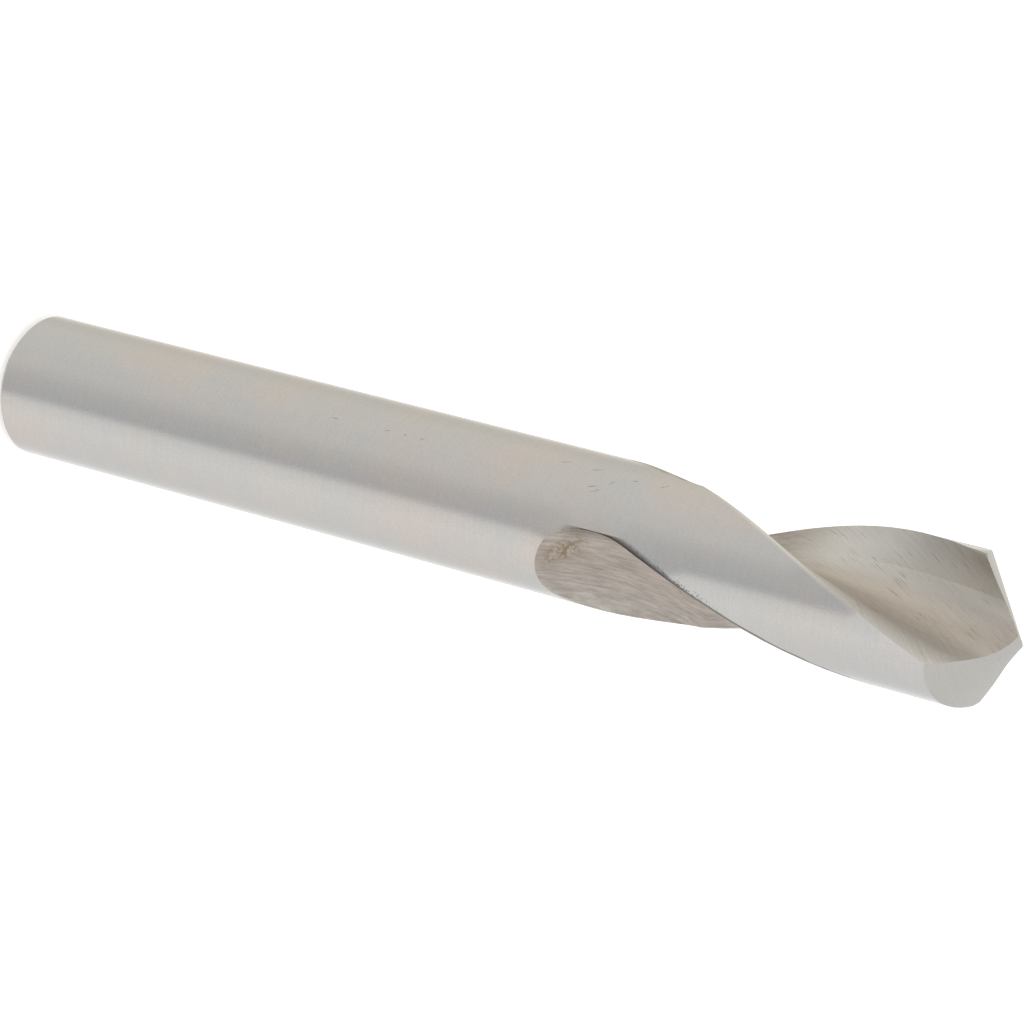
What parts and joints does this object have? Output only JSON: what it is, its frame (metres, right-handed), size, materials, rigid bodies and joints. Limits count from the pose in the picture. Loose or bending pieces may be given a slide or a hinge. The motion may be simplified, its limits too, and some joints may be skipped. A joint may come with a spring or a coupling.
{
  "type": "spotting drill",
  "caption": "Short solid straight-shank drill with helical flutes that run out on a curve and a wide relieved cone point with a chisel edge.",
  "frame": {"origin": "centre of the shank's flat end face", "axes": "+Z along the drill's axis from the shank end to the point, +X along a cutting lip"},
  "size_m": [0.0126, 0.0126, 0.0984],
  "materials": {
    "ground_tool_steel": "bright ground cobalt high-speed steel, satin shank with fine grinding lines in the flutes"
  },
  "bodies": {
    "root": {"spotting_drill": "ground_tool_steel"}
  },
  "joints": []
}
